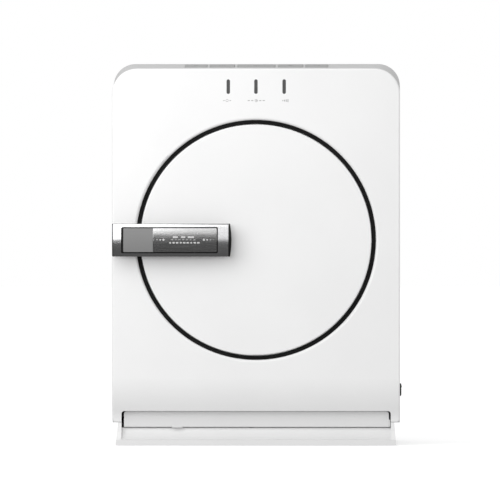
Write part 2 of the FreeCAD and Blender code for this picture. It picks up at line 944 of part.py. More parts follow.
def motor_pulley():
    y0, y1 = belt_y - pulley_half, belt_y + pulley_half
    body = rod_y(motor_x, motor_z, pulley_r, y0, y1)
    rims = [
        rod_y(motor_x, motor_z, pulley_r + pulley_rim, y0, y0 + pulley_rim_width),
        rod_y(motor_x, motor_z, pulley_r + pulley_rim, y1 - pulley_rim_width, y1),
    ]
    return fuse_all([body] + rims).cut(rod_y(motor_x, motor_z, motor_shaft_r, y0 - 1, y1 + 1))


blade_count = 18
blade_depth = 10.0
blade_half = 0.9
blade_pitch = 35.0
wheel_hub_r = 12.0


def blower_wheel():
    """Squirrel-cage wheel: back disc, blades, front ring and hub."""
    y0, y1 = blower_front_y + 6, blower_back_y - 8
    disc = rod_y(motor_x, motor_z, wheel_r, y1 - 2, y1)
    ring = tube_y(motor_x, motor_z, wheel_r, wheel_r - blade_depth - 2, y0, y0 + 2)
    hub = rod_y(motor_x, motor_z, wheel_hub_r, y1 - 20, y1)
    blades = []
    for i in range(blade_count):
        blade = block(wheel_r - blade_depth - 1, wheel_r - 1, y0 + 1, y1 - 1, -blade_half, blade_half)
        blade.rotate(V(wheel_r - blade_depth / 2 - 1, 0, 0), V(0, 1, 0), blade_pitch)
        blade.rotate(V(0, 0, 0), V(0, 1, 0), 360 / blade_count * i)
        blade.translate(V(motor_x, 0, motor_z))
        blades.append(blade)
    wheel = fuse_all([disc, ring, hub] + blades)
    return wheel.cut(rod_y(motor_x, motor_z, motor_shaft_r, y0 - 1, y1 + 1))


outlet_low_z = motor_z - blower_r
outlet_high_z = 100.0
outlet_x = 100.0
blower_wall = 2.5
blower_inlet_r = 36.0


def blower_housing():
    """Scroll casing: round drum with a square outlet to the left."""
    outer = rod_y(motor_x, motor_z, blower_r, blower_front_y, blower_back_y).fuse(
        block(outlet_x, motor_x, blower_front_y, blower_back_y, outlet_low_z, outlet_high_z)
    )
    y0, y1 = blower_front_y + blower_wall, blower_back_y - blower_wall
    inner = rod_y(motor_x, motor_z, blower_r - blower_wall, y0, y1).fuse(
        block(outlet_x - 1, motor_x, y0, y1, outlet_low_z + blower_wall, outlet_high_z - blower_wall)
    )
    housing = outer.cut(inner)
    inlet = rod_y(motor_x, motor_z, blower_inlet_r, blower_front_y - 1, blower_front_y + 4)
    back = rod_y(motor_x, motor_z, 9, blower_back_y - 4, blower_back_y + 1)
    return housing.cut([inlet, back])


def exhaust_duct():
    """Square duct: from the blower to the left, then straight back to the collar."""
    left, right = duct_x - duct_half, duct_x + duct_half
    low, high = duct_z - duct_half, duct_z + duct_half
    outer = block(left, outlet_x, blower_front_y, blower_back_y, outlet_low_z, outlet_high_z).fuse(
        block(left, right, blower_front_y, rear_face_y, low, high)
    )
    t = duct_wall
    inner = block(
        left + t, outlet_x + 1, blower_front_y + t, blower_back_y - t, outlet_low_z + t, outlet_high_z - t
    ).fuse(block(left + t, right - t, blower_front_y + t, rear_face_y - t, low + t, high - t))
    duct = outer.cut(inner)
    return duct.cut(rod_y(duct_x, duct_z, collar_r - 3, rear_face_y - 5, rear_face_y + 1))


def exhaust_collar():
    """Flanged tube that the hose goes over."""
    plate = block(
        duct_x - collar_plate_half, duct_x + collar_plate_half, rear_y, rear_y + collar_wall,
        duct_z - 44, duct_z + collar_plate_half,
    )
    tube = rod_y(duct_x, duct_z, collar_r, rear_face_y, collar_end_y)
    bore = rod_y(duct_x, duct_z, collar_r - collar_wall, rear_face_y - 1, collar_end_y + 1)
    return fuse_all([plate, tube]).cut(bore)


def belt_outline(big, small, y0, y1):
    """Solid bounded by the straps tangent to both wheels."""
    dx, dz = motor_x, motor_z - axis_z
    reach = math.hypot(dx, dz)
    along = math.atan2(dz, dx)
    lean = math.acos((big - small) / reach)
    points = []
    for centre_x, centre_z, radius, signs in (
        (0.0, axis_z, big, (1, -1)),
        (motor_x, motor_z, small, (-1, 1)),
    ):
        for sign in signs:
            angle = along + sign * lean
            points.append((centre_x + radius * math.cos(angle), centre_z + radius * math.sin(angle)))
    far = (-big * math.cos(along), axis_z - big * math.sin(along))
    near = (motor_x + small * math.cos(along), motor_z + small * math.sin(along))
    return prism_y(points, y0, y1, {0: far, 2: near})


def drive_belt():
    y0, y1 = belt_y - belt_width / 2, belt_y + belt_width / 2
    big, small = drum_r + belt_gap, pulley_r + belt_gap
    outer = belt_outline(big + belt_thick, small + belt_thick, y0, y1)
    return outer.cut(belt_outline(big, small, y0 - 1, y1 + 1))


# ---- drawer with the lint filter --------------------------------------------------------------------------
finger_tab_x = (-146.0, -128.0)
tray_wall = 2.0
filter_bar = 6.0
filter_rib_xs = (-70.0, 0.0, 70.0)


def drawer_front():
    """Flat front with a small lug at its right foot and a finger tab under its left half."""
    left = -recess_half_width + drawer_left_gap
    right = recess_half_width - drawer_right_gap
    front = block(left, right, drawer_face_y, plinth_back_y + 1, drawer_low_z, drawer_high_z)
    front = rounded(front, recess_corner_r, is_upper_corner)
    front = rounded(front, 0.6, lambda edge: edge.BoundBox.YMax < drawer_face_y + 0.01)
    lug = block(
        right - 2, recess_half_width - drawer_lug_gap, drawer_face_y + 0.6, plinth_back_y + 1,
        drawer_low_z + 0.4, drawer_lug_z,
    )
    tab = block(
        *finger_tab_x, drawer_face_y - 2.5, drawer_face_y + 1, drawer_low_z - 0.9, drawer_low_z + 2.0
    )
    return fuse_all([front, lug, tab])


def drawer_tray():
    y0 = plinth_back_y + 1
    outer = block(-tray_half, tray_half, y0, tray_back_y, tray_low_z, tray_high_z)
    half = tray_half - tray_wall
    inner = block(
        -half, half, y0 + tray_wall, tray_back_y - tray_wall, tray_low_z + tray_wall, tray_high_z + 1
    )
    window = block(-half + 18, half - 18, y0 + 16, tray_back_y - 16, tray_low_z - 1, tray_low_z + 3)
    return outer.cut([inner, window])


def lint_filter():
    """Frame with cross ribs and a thin screen, lying on the tray's floor."""
    y0, y1 = plinth_back_y + 5, tray_back_y - 4
    z0 = tray_low_z + tray_wall
    half = tray_half - 4
    frame = block(-half, half, y0, y1, z0, z0 + 5).cut(
        block(-half + filter_bar, half - filter_bar, y0 + filter_bar, y1 - filter_bar, z0 - 1, z0 + 6)
    )
    ribs = [block(x - 1.5, x + 1.5, y0 + 3, y1 - 3, z0 + 1, z0 + 4) for x in filter_rib_xs]
    screen = block(-half + 3, half - 3, y0 + 3, y1 - 3, z0 + 2, z0 + 3)
    return fuse_all([frame, screen] + ribs)


# ---- door ---------------------------------------------------------------------------------------------
release_stem_x = -186.0
door_hole_r = 4.0


def door_skin():
    """Flat disc with a rolled edge and a rim that tapers inwards."""
    edge = 2.0
    mid = edge * (1 - math.sqrt(0.5))
    points = [
        V(0, front_y, axis_z),
        V(door_r - edge, front_y, axis_z),
        V(door_r, front_y + edge, axis_z),
        V(door_back_r, liner_y, axis_z),
        V(door_back_r - wall, liner_y, axis_z),
        V(door_r - wall - 0.6, front_y + wall, axis_z),
        V(0, front_y + wall, axis_z),
    ]
    face = Part.Face(wire_of(points, {1: V(door_r - mid, front_y + mid, axis_z)}))
    skin = face.revolve(V(0, 0, axis_z), V(0, 1, 0), 360)
    return skin.cut(rod_y(release_stem_x, handle_mid_z, door_hole_r, front_y - 1, front_y + 5))


def door_liner():
    """Inner pan whose round plug reaches into the mouth."""
    back = plug_back_y
    profile = [
        (0, back - liner_sheet),
        (plug_r - 12, back - liner_sheet),
        (plug_r - liner_sheet, back - 12),
        (plug_r - liner_sheet, liner_y),
        (door_back_r - 0.5, liner_y),
        (door_back_r - 0.5, liner_y + liner_sheet),
        (plug_r, liner_y + liner_sheet),
        (plug_r, back - 12),
        (plug_r - 10, back),
        (0, back),
    ]
    liner = solid_of_revolution(profile)
    return liner.cut(rod_y(release_stem_x, handle_mid_z, door_hole_r, liner_y - 1, liner_y + 5))


gasket_outer = 180.0
gasket_inner = 170.5


def door_gasket():
    y0 = liner_y + liner_sheet
    return tube_y(0, axis_z, gasket_outer, gasket_inner, y0, collar_front_y - 0.5)


arm_inner_r = 20.6
arm_outer_r = 25.0
arm_levels = (axis_z - 18.0, axis_z + 6.0)
arm_height = 12.0
arm_hub_r = 6.0
tongue_x = 185.0
ear_left_x = hinge_x - 4
ear_right_x = hinge_x + 5
strap_right_x = hinge_x + 24
strap_sheet = 2.5


def hinge_arm(low):
    """Gooseneck plate: hub, spoke away from the door, loop round the back, tongue on the liner."""
    high = low + arm_height
    loop = rod_z(hinge_x, hinge_y, arm_outer_r, low, high)
    loop = loop.cut(rod_z(hinge_x, hinge_y, arm_inner_r, low - 1, high + 1))
    loop = loop.cut(block(hinge_x - 40, hinge_x + 40, hinge_y - 40, hinge_y - 3.0, low - 1, high + 1))
    tongue_y0 = liner_y + liner_sheet
    loop = loop.cut(block(hinge_x - 40, hinge_x, hinge_y - 40, tongue_y0, low - 1, high + 1))
    spoke = block(hinge_x, hinge_x + arm_inner_r + 1, hinge_y - 3, hinge_y + 3, low, high)
    hub = rod_z(hinge_x, hinge_y, arm_hub_r, low, high)
    tongue = block(tongue_x, hinge_x - arm_inner_r + 1, tongue_y0, tongue_y0 + 5.5, low, high)
    arm = fuse_all([loop, spoke, hub, tongue])
    return arm.cut(rod_z(hinge_x, hinge_y, hinge_pin_r + running_gap, low - 1, high + 1))


def hinge_arms():
    return group([hinge_arm(low) for low in arm_levels])


def hinge_bracket():
    """Three ears on a plate behind the front panel, with the pin through them."""
    low, high = arm_levels[0], arm_levels[1] + arm_height
    back = front_y + wall
    ears = []
    for z0, z1 in (
        (low - 6, low - 0.5),
        (low + arm_height + 0.5, arm_levels[1] - 0.5),
        (high + 0.5, high + 6),
    ):
        ear = block(ear_left_x, ear_right_x, back, hinge_y, z0, z1)
        ears.append(ear.fuse(rod_z(hinge_x, hinge_y, ear_right_x - hinge_x, z0, z1)))
    plates = [
        block(ear_left_x, strap_right_x, back, back + strap_sheet, low - 34, low - 0.5),
        block(ear_left_x, strap_right_x, back, back + strap_sheet, high + 0.5, high + 34),
        block(ear_left_x, ear_right_x, back, back + 1.5, low - 10, high + 10),
    ]
    pin = rod_z(hinge_x, hinge_y, hinge_pin_r, low - 9, high + 9)
    return fuse_all(ears + plates + [pin])


catch_x = -191.0
catch_z = axis_z - 20.0
keeper_sheet = 1.6
magnet_depth = 10.0


def keeper_plate():
    y0 = liner_y + liner_sheet
    return block(catch_x - 6, catch_x + 7, y0, y0 + keeper_sheet, catch_z - 10, catch_z + 10)


def magnet_catch():
    """Magnet block on a post that stands on the bulkhead."""
    front = liner_y + liner_sheet + keeper_sheet + 0.4
    back = front + magnet_depth
    magnet = block(catch_x - 7, catch_x + 7, front, back, catch_z - 11, catch_z + 11)
    post = block(catch_x - 5, catch_x + 5, back, bulkhead_y, catch_z - 8, catch_z + 8)
    return fuse_all([magnet, post])


# ---- handle ---------------------------------------------------------------------------------------------
handle_half_z = (handle_high_z - handle_low_z) / 2
bow_r = (handle_half_z ** 2 + handle_bow ** 2) / (2 * handle_bow)


def bowed_block(x0, x1, half_z, inset, back_y):
    """Block whose front is part of a cylinder about an X line, concentric for every inset."""
    radius = bow_r - inset
    centre_y = handle_front_y + bow_r
    edge_y = centre_y - math.sqrt(radius ** 2 - half_z ** 2)
    points = [
        (back_y, handle_mid_z - half_z),
        (edge_y, handle_mid_z - half_z),
        (edge_y, handle_mid_z + half_z),
        (back_y, handle_mid_z + half_z),
    ]
    return prism_x(points, x0, x1, {1: (centre_y - radius, handle_mid_z)})


plate_depth = 2.2
plate_sink = 0.9
pocket_y = -240.5
pocket_corner_r = 2.6
seam = 2.2
wide_seam = 4.0
fine_seam = 0.3
stem_hole_r = 3.6
cap_bulge = 2.6
foot_x = (-194.0, -60.0)
foot_half_z = 20.0
foot_corner_r = 6.0


def window_block(x0, x1, y0, y1):
    """Block as tall as the handle's window."""
    return block(x0, x1, y0, y1, handle_mid_z - window_half_z, handle_mid_z + window_half_z)


def softened(shape, radius, x_limits):
    """Rounds the corners along Y that stand at the given x values."""
    def at_corner(edge):
        box = edge.BoundBox
        upright = box.XLength < 0.01 and box.ZLength < 0.01
        return upright and min(abs(box.XMin - x) for x in x_limits) < 0.01
    return rounded(shape, radius, at_corner)


def handle_bar():
    bar = bowed_block(handle_left_x, cap_left_x, handle_half_z, 0.0, handle_back_y)
    bar = rounded(bar, 1.5, lambda edge: edge.BoundBox.XMax < handle_left_x + 0.01)
    seat_cut = softened(
        window_block(divider_x, window_right_x, handle_front_y - 1, handle_back_y),
        pocket_corner_r, (window_right_x,),
    )
    seat = bowed_block(
        divider_x - 1, window_right_x + 1, window_half_z + 2, plate_depth + plate_sink, handle_back_y + 1
    )
    pocket = softened(
        window_block(window_left_x, divider_x, handle_front_y - 1, pocket_y),
        pocket_corner_r, (window_left_x,),
    )
    stem_hole = rod_y(release_stem_x, handle_mid_z, stem_hole_r, pocket_y - 1, handle_back_y + 1)
    return bar.cut([seat_cut.cut(seat), pocket, stem_hole])


def handle_end_cap():
    """Crescent end: straight against the bar, bulging outwards."""
    body = bowed_block(cap_left_x, handle_right_x + 1, handle_half_z, 0.0, handle_back_y)
    points = [
        (cap_left_x, handle_low_z),
        (handle_right_x - cap_bulge, handle_low_z),
        (handle_right_x - cap_bulge, handle_high_z),
        (cap_left_x, handle_high_z),
    ]
    outline = prism_y(points, handle_front_y - 1, handle_back_y, {1: (handle_right_x, handle_mid_z)})
    return body.common(outline)


def handle_foot():
    """Stand-off between the bar and the door."""
    half = foot_half_z
    foot = block(*foot_x, handle_back_y, front_y, handle_mid_z - half, handle_mid_z + half)
    foot = rounded(foot, foot_corner_r, lambda edge: edge.BoundBox.YLength > 15)
    return foot.cut(rod_y(release_stem_x, handle_mid_z, stem_hole_r, handle_back_y - 1, front_y + 1))


def handle_nameplate():
    """Bowed plate on the seat, with a seam all round it."""
    half = window_half_z - seam
    plate = bowed_block(divider_x + fine_seam, window_right_x - seam, half, plate_sink, handle_back_y)
    plate = softened(plate, pocket_corner_r - 1.0, (window_right_x - seam,))
    back = bowed_block(
        divider_x, window_right_x, window_half_z, plate_depth + plate_sink, handle_back_y + 1
    )
    return plate.cut(back)


def release_button():
    left = window_left_x + wide_seam
    face = bowed_block(
        left, divider_x - fine_seam, window_half_z - seam, plate_sink, pocket_y - release_travel - 1
    )
    face = softened(face, pocket_corner_r - 1.0, (left,))
    stem = rod_y(release_stem_x, handle_mid_z, 3.0, pocket_y - release_travel - 2, liner_y - 4.5)
    return fuse_all([face, stem])


# ---- electrics --------------------------------------------------------------------------------------------
board_z = 632.0
board_front_y = -184.0
board_back_y = -104.0
board_half = 160.0
board_sheet = 1.6
board_parts = (
    # x span, y span, top
    ((100.0, 124.0), (-180.0, -174.0), board_z + 9),
    ((-150.0, -130.0), (-182.0, -174.0), board_z + 8),
)


def control_board():
    """Main board under the deck with its switches, and the small upright board behind the indicators."""
    face = board_z + board_sheet
    board = block(-board_half, board_half, board_front_y, board_back_y, board_z, face)
    tall = [block(*x_span, *y_span, face, top) for x_span, y_span, top in board_parts]
    switch_top = key_middle_z - key_stem * math.cos(math.radians(deck_angle)) - key_travel - 1.2
    switches = [
        rod_z((x0 + x1) / 2, key_middle_y + 1.5, 4.0, face, switch_top) for x0, x1 in key_spans
    ]
    main = fuse_all([board] + tall + switches)
    light_y = front_y + wall + 3.5
    upright = block(-70, 70, light_y, light_y + board_sheet, indicator_z - 19.5, indicator_z + 19.5)
    lamps = [rod_y(x, indicator_z, 2.5, light_y - 1.6, light_y) for x in indicator_xs]
    return group([main, fuse_all([upright] + lamps)])


harness_r = 3.0
harness_y = 60.0
harness_wall_x = 238.0
harness_top_z = 622.0
harness_low_z = 168.0
harness_start_x = 150.0
harness_bend = 22.0


def wiring_harness():
    """Sleeved loom from the board down the right side wall to the motor, in straight runs and arcs."""
    x_wall, y_run, bend = harness_wall_x, harness_y, harness_bend
    top, low = harness_top_z, harness_low_z
    slant = bend * (1 - math.sqrt(0.5))
    a = V(harness_start_x, y_run, top)
    b = V(x_wall - bend, y_run, top)
    c = V(x_wall, y_run, top - bend)
    d = V(x_wall, y_run, low + bend)
    e = V(x_wall - bend, y_run, low)
    f = V(motor_x, y_run, low)
    edges = [
        Part.LineSegment(a, b).toShape(),
        Part.Arc(b, V(x_wall - slant, y_run, top - slant), c).toShape(),
        Part.LineSegment(c, d).toShape(),
        Part.Arc(d, V(x_wall - slant, y_run, low + slant), e).toShape(),
        Part.LineSegment(e, f).toShape(),
    ]
    ring = Part.Wire([Part.Circle(a, V(1, 0, 0), harness_r).toShape()])
    loom = Part.Wire(edges).makePipeShell([ring], True, False)
    drop = rod_z(motor_x, y_run, harness_r, motor_z + motor_r - 1, low)
    drop = drop.cut(rod_y(motor_x, motor_z, motor_r + 0.2, y_run - 20, y_run + 20))
    return loom.fuse(drop)


def inlet_block(half_x, half_z, y0, y1):
    return block(inlet_x - half_x, inlet_x + half_x, y0, y1, inlet_z - half_z, inlet_z + half_z)


inlet_depth = 22.0
inlet_flange = 3.0
blade_spots = ((-7.0, -2.0), (0.0, 2.0), (7.0, -2.0))


def power_inlet():
    """Recessed mains inlet with three blades."""
    y0, y1 = rear_y - inlet_depth, rear_y + inlet_flange
    shell = inlet_block(14, 11, y0, rear_y)
    cavity = inlet_block(12, 8, y0 + 3, y1 + 1)
    body = fuse_all([inlet_block(18, 15, rear_y, y1), shell]).cut(cavity)
    blades = [
        block(inlet_x + dx - 1, inlet_x + dx + 1, y0 + 2, y0 + 16, inlet_z + dz - 2, inlet_z + dz + 2)
        for dx, dz in blade_spots
    ]
    return fuse_all([body] + blades)


rocker_half_y = 7.0
bezel_proud = 2.6
bezel_round = 2.2


def rocker_bezel():
    """Frame on the side wall with a box behind it and the rocker's pivot pin."""
    half_y = rocker_hole_y - 0.4
    half_z = rocker_hole_z - 0.4
    y0, y1 = rocker_y - half_y, rocker_y + half_y
    z0, z1 = rocker_z - half_z, rocker_z + half_z
    frame = block(half_width, half_width + bezel_proud, y0 - 1, y1 + 1, z0 - 1, z1 + 1)
    frame = rounded(
        frame, bezel_round,
        lambda edge: edge.BoundBox.XMin > half_width + bezel_proud - 0.01 and edge.BoundBox.ZLength < 0.01,
    )
    box = block(rocker_x - 14, half_width, y0, y1, z0, z1)
    cavity = block(
        rocker_x - 12, half_width + 3, rocker_y - rocker_half_y - 0.5, rocker_y + rocker_half_y + 0.5,
        z0 + 0.9, z1 - 0.9,
    )
    pin = rod_y(rocker_x, rocker_z, rocker_pin_r, y0 + 0.5, y1 - 0.5)
    return fuse_all([frame, box]).cut(cavity).fuse(pin)


rocker_tilt = 7.0
rocker_root = 3.5
rocker_reach = 6.8
rocker_half_z = 7.6
rocker_pin_r = 1.5


def rocker_switch():
    """Two-facet rocker, built tilted with its upper end out."""
    y0, y1 = rocker_y - rocker_half_y, rocker_y + rocker_half_y
    points = [
        (-rocker_root, -5.5),
        (rocker_reach, -rocker_half_z),
        (rocker_reach - 1.4, 0.0),
        (rocker_reach, rocker_half_z),
        (-rocker_root, 5.5),
    ]
    body = prism_y([(rocker_x + x, rocker_z + z) for x, z in points], y0, y1)
    body = body.cut(rod_y(rocker_x, rocker_z, rocker_pin_r + running_gap, y0 - 1, y1 + 1))
    body.rotate(V(rocker_x, 0, rocker_z), V(0, 1, 0), rocker_tilt)
    return body


# ---- all nodes ---------------------------------------------------------------------------------------------
nodes = {
    "front_panel": front_panel,
    "indicator_lenses": indicator_lenses,
    "door_ring_seal": door_ring_seal,
    "top_cover": top_cover,
    "plinth_front": plinth_front,
    "base_pan": base_pan,
    "rubber_feet": rubber_feet,
    "left_side_panel": lambda: side_panel(-1),
    "right_side_panel": lambda: side_panel(1),
    "rear_panel": rear_panel,
    "panel_screws": panel_screws,
    "front_bulkhead": front_bulkhead,
    "rear_bulkhead": rear_bulkhead,
    "drum_felt_seal": drum_felt_seal,
    "bearing_housing": bearing_housing,
    "front_air_duct": front_air_duct,
    "heater_housing": heater_housing,
    "heater_element": heater_element,
    "thermostat": thermostat,
    "roller_brackets": roller_brackets,
    "motor_housing": motor_housing,
    "motor_bracket": motor_bracket,
    "drive_belt": drive_belt,
    "blower_housing": blower_housing,
    "exhaust_duct": exhaust_duct,
    "exhaust_collar": exhaust_collar,
    "hinge_bracket": hinge_bracket,
    "magnet_catch": magnet_catch,
    "control_board": control_board,
    "wiring_harness": wiring_harness,
    "power_inlet": power_inlet,
    "rocker_bezel": rocker_bezel,
    "drum_shell": drum_shell,
    "drum_back": drum_back,
    "drum_baffles": drum_baffles,
    "drum_shaft": drum_shaft,
    "roller_left": lambda: roller(*roller_spots()[0]),
    "roller_right": lambda: roller(*roller_spots()[1]),
    "motor_shaft": motor_shaft,
    "motor_pulley": motor_pulley,
    "blower_wheel": blower_wheel,
    "door_skin": door_skin,
    "door_liner": door_liner,
    "door_gasket": door_gasket,
    "hinge_arms": hinge_arms,
    "keeper_plate": keeper_plate,
    "handle_foot": handle_foot,
    "handle_bar": handle_bar,
    "handle_end_cap": handle_end_cap,
    "handle_nameplate": handle_nameplate,
    "release_button": release_button,
    "rocker_switch": rocker_switch,
    "drawer_front": drawer_front,
    "drawer_tray": drawer_tray,
    "lint_filter": lint_filter,
}
for number, span in enumerate(key_spans, start=1):
    nodes["key_%d" % number] = lambda span=span: key(*span)

for node_name, make in nodes.items():
    shape = make()
    state = "ok" if shape.isValid() and shape.Solids else "BAD"
    print("%-18s %s solids=%d volume=%.0f" % (node_name, state, len(shape.Solids), shape.Volume))
    save(node_name, shape)
print(len(nodes), "nodes")
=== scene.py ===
"""Looks of a compact front-loading clothes dryer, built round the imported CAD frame.

Lengths are in metres. Print marks are drawn in millimetres and laid on a surface by printed().
"""

import json
import math

import bmesh
import bpy
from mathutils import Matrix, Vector


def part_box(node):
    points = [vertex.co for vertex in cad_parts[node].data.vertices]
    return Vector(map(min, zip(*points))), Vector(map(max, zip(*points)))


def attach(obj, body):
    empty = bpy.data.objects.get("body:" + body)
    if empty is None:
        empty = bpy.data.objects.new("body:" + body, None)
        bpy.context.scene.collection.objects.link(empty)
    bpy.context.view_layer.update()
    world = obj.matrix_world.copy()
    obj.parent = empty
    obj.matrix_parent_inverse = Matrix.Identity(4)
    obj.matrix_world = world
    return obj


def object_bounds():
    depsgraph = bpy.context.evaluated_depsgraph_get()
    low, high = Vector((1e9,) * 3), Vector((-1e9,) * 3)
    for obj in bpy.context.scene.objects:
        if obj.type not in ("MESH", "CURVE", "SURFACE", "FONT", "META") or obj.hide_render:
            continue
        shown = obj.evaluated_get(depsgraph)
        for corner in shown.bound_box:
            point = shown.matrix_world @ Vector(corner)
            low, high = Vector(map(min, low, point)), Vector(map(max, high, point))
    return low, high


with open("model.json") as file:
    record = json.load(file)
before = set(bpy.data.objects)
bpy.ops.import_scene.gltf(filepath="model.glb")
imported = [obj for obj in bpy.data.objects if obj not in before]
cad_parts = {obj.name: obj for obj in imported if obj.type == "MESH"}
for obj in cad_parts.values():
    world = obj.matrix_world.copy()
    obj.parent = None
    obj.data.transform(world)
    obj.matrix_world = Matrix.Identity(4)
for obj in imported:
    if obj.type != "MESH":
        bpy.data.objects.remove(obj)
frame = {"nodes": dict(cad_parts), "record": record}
cad_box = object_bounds()
nodes = frame["nodes"]
slot_of = {entry["node"]: entry["material_slot"] for entry in frame["record"]["subparts"]}

MM = 0.001
X, Y, Z = 0, 1, 2
RIGHT, UP = (1, 0, 0), (0, 0, 1)
NOISE_LOW, NOISE_HIGH = 0.3, 0.7  # the part of 0 to 1 that a noise texture mostly fills


# ---- materials -------------------------------------------------------------------------------------
class Look:
    """A node material: a Principled shader with helpers that add detail in object space."""

    def __init__(self, name, color, rough, metallic=0.0, **sockets):
        self.name = name
        self.mat = bpy.data.materials.new(name)
        self.mat.use_nodes = True
        self.tree = self.mat.node_tree
        self.bsdf = self.tree.nodes["Principled BSDF"]
        self.color = color
        self.bsdf.inputs["Base Color"].default_value = (*color, 1.0)
        self.bsdf.inputs["Roughness"].default_value = rough
        self.bsdf.inputs["Metallic"].default_value = metallic
        for socket, value in sockets.items():
            self.bsdf.inputs[socket.replace("_", " ")].default_value = value
        self.coords = self.node("ShaderNodeTexCoord").outputs["Object"]
        self.height = None

    def node(self, kind, **settings):
        made = self.tree.nodes.new(kind)
        for key, value in settings.items():
            setattr(made, key, value)
        return made

    def link(self, source, target):
        self.tree.links.new(source, target)

    def stretched(self, scale):
        """Object coordinates scaled by an (x, y, z) triple, for grain with a direction."""
        mapping = self.node("ShaderNodeMapping")
        mapping.inputs["Scale"].default_value = scale
        self.link(self.coords, mapping.inputs["Vector"])
        return mapping.outputs["Vector"]

    def noise(self, scale, detail=3.0, vector=None, rough=0.5):
        made = self.node("ShaderNodeTexNoise")
        made.inputs["Scale"].default_value = scale
        made.inputs["Detail"].default_value = detail
        made.inputs["Roughness"].default_value = rough
        self.link(vector or self.coords, made.inputs["Vector"])
        return made.outputs["Fac"]

    def remap(self, source, low, high, start=NOISE_LOW, end=NOISE_HIGH):
        made = self.node("ShaderNodeMapRange")
        made.inputs["From Min"].default_value = start
        made.inputs["From Max"].default_value = end
        made.inputs["To Min"].default_value = low
        made.inputs["To Max"].default_value = high
        self.link(source, made.inputs["Value"])
        return made.outputs["Result"]

    def tint(self, source, low, high):
        """Base colour varies between two multiples of the look's colour."""
        ramp = self.node("ShaderNodeValToRGB")
        stops = zip(ramp.color_ramp.elements, (NOISE_LOW, NOISE_HIGH), (low, high))
        for stop, position, factor in stops:
            stop.position = position
            stop.color = (*[min(c * factor, 1.0) for c in self.color], 1.0)
        self.link(source, ramp.inputs["Fac"])
        self.link(ramp.outputs["Color"], self.bsdf.inputs["Base Color"])

    def lean(self, slope):
        """Tips the facets of the finish about X, as brushing that is drawn slightly downwards does."""
        split = self.node("ShaderNodeSeparateXYZ")
        self.link(self.coords, split.inputs["Vector"])
        scaled = self.node("ShaderNodeMath", operation="MULTIPLY")
        scaled.inputs[1].default_value = slope
        self.link(split.outputs["Z"], scaled.inputs[0])
        self.bump(scaled.outputs["Value"], 1.0)

    def roughen(self, source, low, high):
        self.link(self.remap(source, low, high), self.bsdf.inputs["Roughness"])

    def paint_edge_shade(self, axis, edge, width, shade):
        """Darkens the base colour of a strip along one edge: painted shade, standing in for the dark
        reflection of a rounded edge that turns away.

        The width is signed and points inwards; its outer seven tenths have the full shade.
        """
        full_shade = edge + 0.7 * width
        split = self.node("ShaderNodeSeparateXYZ")
        self.link(self.coords, split.inputs["Vector"])
        strip = self.remap(split.outputs[axis], shade, 1.0, full_shade, edge + width)
        mix = self.node("ShaderNodeMix", data_type="RGBA", blend_type="MULTIPLY")
        mix.inputs["Factor"].default_value = 1.0
        base = self.bsdf.inputs["Base Color"]
        self.link(base.links[0].from_socket, mix.inputs["A"])
        self.link(strip, mix.inputs["B"])
        self.link(mix.outputs["Result"], base)

    def bump(self, source, distance, strength=1.0):
        """Adds one layer of relief on top of those already there."""
        made = self.node("ShaderNodeBump")
        made.inputs["Distance"].default_value = distance
        made.inputs["Strength"].default_value = strength
        self.link(source, made.inputs["Height"])
        if self.height is not None:
            self.link(self.height, made.inputs["Normal"])
        self.height = made.outputs["Normal"]
        self.link(self.height, self.bsdf.inputs["Normal"])


def grey(level):
    return (level, level, level)


def moulded(name, color, rough, **sockets):
    """Injection moulding: faint mottling, fine surface grain, slight gloss changes from handling."""
    look = Look(name, color, rough, **sockets)
    look.tint(look.noise(scale=6.0, detail=4.0), low=0.985, high=1.015)
    look.roughen(look.noise(scale=25.0, detail=5.0), low=rough - 0.04, high=rough + 0.05)
    look.bump(look.noise(scale=900.0, detail=2.0), distance=0.00002)
    return look


def brushed(name, color, rough, along, relief=0.00003):
    """Metal brushed along one axis: X, Y or Z."""
    look = Look(name, color, rough, metallic=1.0)
    across_grain, along_grain = 2600.0, 22.0
    scale = [across_grain] * 3
    scale[along] = along_grain
    grain = look.noise(scale=1.0, detail=4.0, vector=look.stretched(scale), rough=0.7)
    look.tint(grain, low=0.90, high=1.08)
    look.roughen(grain, low=rough - 0.06, high=rough + 0.10)
    look.bump(grain, distance=relief, strength=0.5)
    return look


def chrome(name):
    return brushed(name, (0.80, 0.80, 0.81), 0.16, along=X, relief=0.000005)


def zinc_sheet(name, color):
    """Galvanised sheet with soft spangle."""
    look = Look(name, color, 0.42, metallic=1.0)
    cells = look.node("ShaderNodeTexVoronoi")
    cells.inputs["Scale"].default_value = 150.0
    look.link(look.coords, cells.inputs["Vector"])
    spangle = look.node("ShaderNodeRGBToBW")
    look.link(cells.outputs["Color"], spangle.inputs["Color"])
    look.tint(spangle.outputs["Val"], low=0.93, high=1.04)
    look.roughen(spangle.outputs["Val"], low=0.38, high=0.46)
    look.bump(look.noise(scale=300.0), distance=0.00002)
    return look


def powder_coat(name, color):
    """Painted sheet with orange peel."""
    look = Look(name, color, 0.38)
    look.tint(look.noise(scale=5.0, detail=4.0), low=0.985, high=1.01)
    look.roughen(look.noise(scale=40.0, detail=4.0), low=0.34, high=0.44)
    look.bump(look.noise(scale=420.0, detail=2.0), distance=0.00004)
    return look


def rubber(name, color, **sockets):
    """Matt rubber with a patchy, finely pitted skin."""
    look = Look(name, color, 0.75, **sockets)
    look.tint(look.noise(scale=60.0, detail=5.0), low=0.7, high=1.5)
    look.roughen(look.noise(scale=200.0, detail=4.0), low=0.68, high=0.85)
    look.bump(look.noise(scale=1500.0), distance=0.00003)
    return look


def felt(name, color):
    """Pressed fibres with a soft sheen."""
    look = Look(name, color, 0.95)
    fibres = look.noise(scale=1800.0, detail=6.0)
    look.tint(fibres, low=0.7, high=1.3)
    look.bump(fibres, distance=0.0004)
    look.bsdf.inputs["Sheen Weight"].default_value = 0.4
    return look


